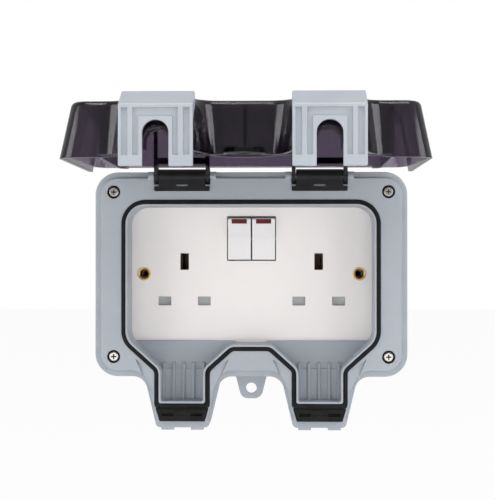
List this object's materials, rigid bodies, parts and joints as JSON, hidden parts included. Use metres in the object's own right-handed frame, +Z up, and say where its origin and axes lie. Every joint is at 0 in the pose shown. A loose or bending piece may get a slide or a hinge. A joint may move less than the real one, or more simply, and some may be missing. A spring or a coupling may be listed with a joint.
{
  "type": "outdoor socket",
  "caption": "Weatherproof double wall socket with a smoked hinged lid held open, snap latches, rocker switches and cable outlets.",
  "frame": {"origin": "centre of the back box's wall face", "axes": "+X to the right seen from the front, +Y into the wall, +Z up"},
  "size_m": [0.172, 0.2053, 0.1677],
  "materials": {
    "box_grey": "fine grain",
    "frame_grey": "fine grain",
    "seal_black": "matt",
    "plate_white": "semi-gloss",
    "lid_smoke": "smoked, translucent, polished",
    "hinge_black": "satin",
    "latch_grey": "satin",
    "steel": "bright zinc",
    "screw_nickel": "nickel plate",
    "washer_black": "matt",
    "brass": "rolled and stamped",
    "rocker_white": "semi-gloss",
    "flag_red": "semi-gloss",
    "inner_grey": "satin"
  },
  "bodies": {
    "casing": {"back_box": "box_grey", "box_seal": "seal_black", "lid_gasket": "seal_black", "cable_seal_left": "seal_black", "cable_seal_right": "seal_black", "front_frame": "frame_grey", "faceplate": "plate_white", "hinge_bracket_left": "hinge_black", "hinge_bracket_right": "hinge_black", "hinge_pin_left": "steel", "hinge_pin_right": "steel", "rocker_spindle": "steel", "housing_screw_left": "steel", "housing_screw_right": "steel", "terminal_screw_line": "steel", "terminal_screw_earth": "steel", "terminal_screw_neutral": "steel", "shutter_spring_left": "steel", "shutter_spring_right": "steel", "cover_screw_top_left": "screw_nickel", "cover_screw_top_right": "screw_nickel", "cover_screw_bottom_left": "screw_nickel", "cover_screw_bottom_right": "screw_nickel", "screw_ring_top_left": "washer_black", "screw_ring_top_right": "washer_black", "screw_ring_bottom_left": "washer_black", "screw_ring_bottom_right": "washer_black", "eyelet_left": "brass", "eyelet_right": "brass", "line_contact_left": "brass", "line_contact_right": "brass", "neutral_contact": "brass", "earth_contact": "brass", "feed_bar": "brass", "terminal_line": "brass", "terminal_earth": "brass", "terminal_neutral": "brass", "rear_housing": "inner_grey"},
    "lid": {"lid": "lid_smoke", "hinge_arm_left": "hinge_black", "hinge_arm_right": "hinge_black", "latch_pin_left": "steel", "latch_pin_right": "steel"},
    "latch_left": {"latch_left": "latch_grey"},
    "latch_right": {"latch_right": "latch_grey"},
    "rocker_left": {"rocker_left": "rocker_white", "rocker_flag_left": "flag_red", "switch_plunger_left": "inner_grey"},
    "rocker_right": {"rocker_right": "rocker_white", "rocker_flag_right": "flag_red", "switch_plunger_right": "inner_grey"},
    "contact_arm_left": {"contact_arm_left": "brass"},
    "contact_arm_right": {"contact_arm_right": "brass"},
    "shutter_left": {"shutter_left": "inner_grey"},
    "shutter_right": {"shutter_right": "inner_grey"}
  },
  "joints": [
    {"name": "lid_hinge", "type": "hinge", "parent": "casing", "child": "lid", "pos_m": [0, -0.064, 0.0535], "axis": [1, 0, 0], "range_deg": [-12, 90]},
    {"name": "latch_left_pivot", "type": "hinge", "parent": "lid", "child": "latch_left", "pos_m": [-0.0375, -0.1935, 0.0773], "axis": [1, 0, 0], "range_deg": [-75, 0]},
    {"name": "latch_right_pivot", "type": "hinge", "parent": "lid", "child": "latch_right", "pos_m": [0.0375, -0.1935, 0.0773], "axis": [1, 0, 0], "range_deg": [-75, 0]},
    {"name": "rocker_left_pivot", "type": "hinge", "parent": "casing", "child": "rocker_left", "pos_m": [-0.0068, -0.0434, 0.0198], "axis": [1, 0, 0], "range_deg": [-12, 0]},
    {"name": "contact_arm_left_pivot", "type": "hinge", "parent": "casing", "child": "contact_arm_left", "pos_m": [-0.0068, -0.0324, 0.0198], "axis": [1, 0, 0], "range_deg": [0, 18]},
    {"name": "shutter_left_slide", "type": "slide", "parent": "casing", "child": "shutter_left", "axis": [0, 0, -1], "range_m": [0, 0.0065], "stiffness_N_per_m": 60, "springref_m": -0.004, "deforming": ["shutter_spring_left"]},
    {"name": "rocker_right_pivot", "type": "hinge", "parent": "casing", "child": "rocker_right", "pos_m": [0.0068, -0.0434, 0.0198], "axis": [1, 0, 0], "range_deg": [-12, 0]},
    {"name": "contact_arm_right_pivot", "type": "hinge", "parent": "casing", "child": "contact_arm_right", "pos_m": [0.0068, -0.0324, 0.0198], "axis": [1, 0, 0], "range_deg": [0, 18]},
    {"name": "shutter_right_slide", "type": "slide", "parent": "casing", "child": "shutter_right", "axis": [0, 0, -1], "range_m": [0, 0.0065], "stiffness_N_per_m": 60, "springref_m": -0.004, "deforming": ["shutter_spring_right"]}
  ],
  "couplings": [
    {"joint": "contact_arm_left_pivot", "follows": "rocker_left_pivot", "ratio": -1.5},
    {"joint": "contact_arm_right_pivot", "follows": "rocker_right_pivot", "ratio": -1.5}
  ]
}
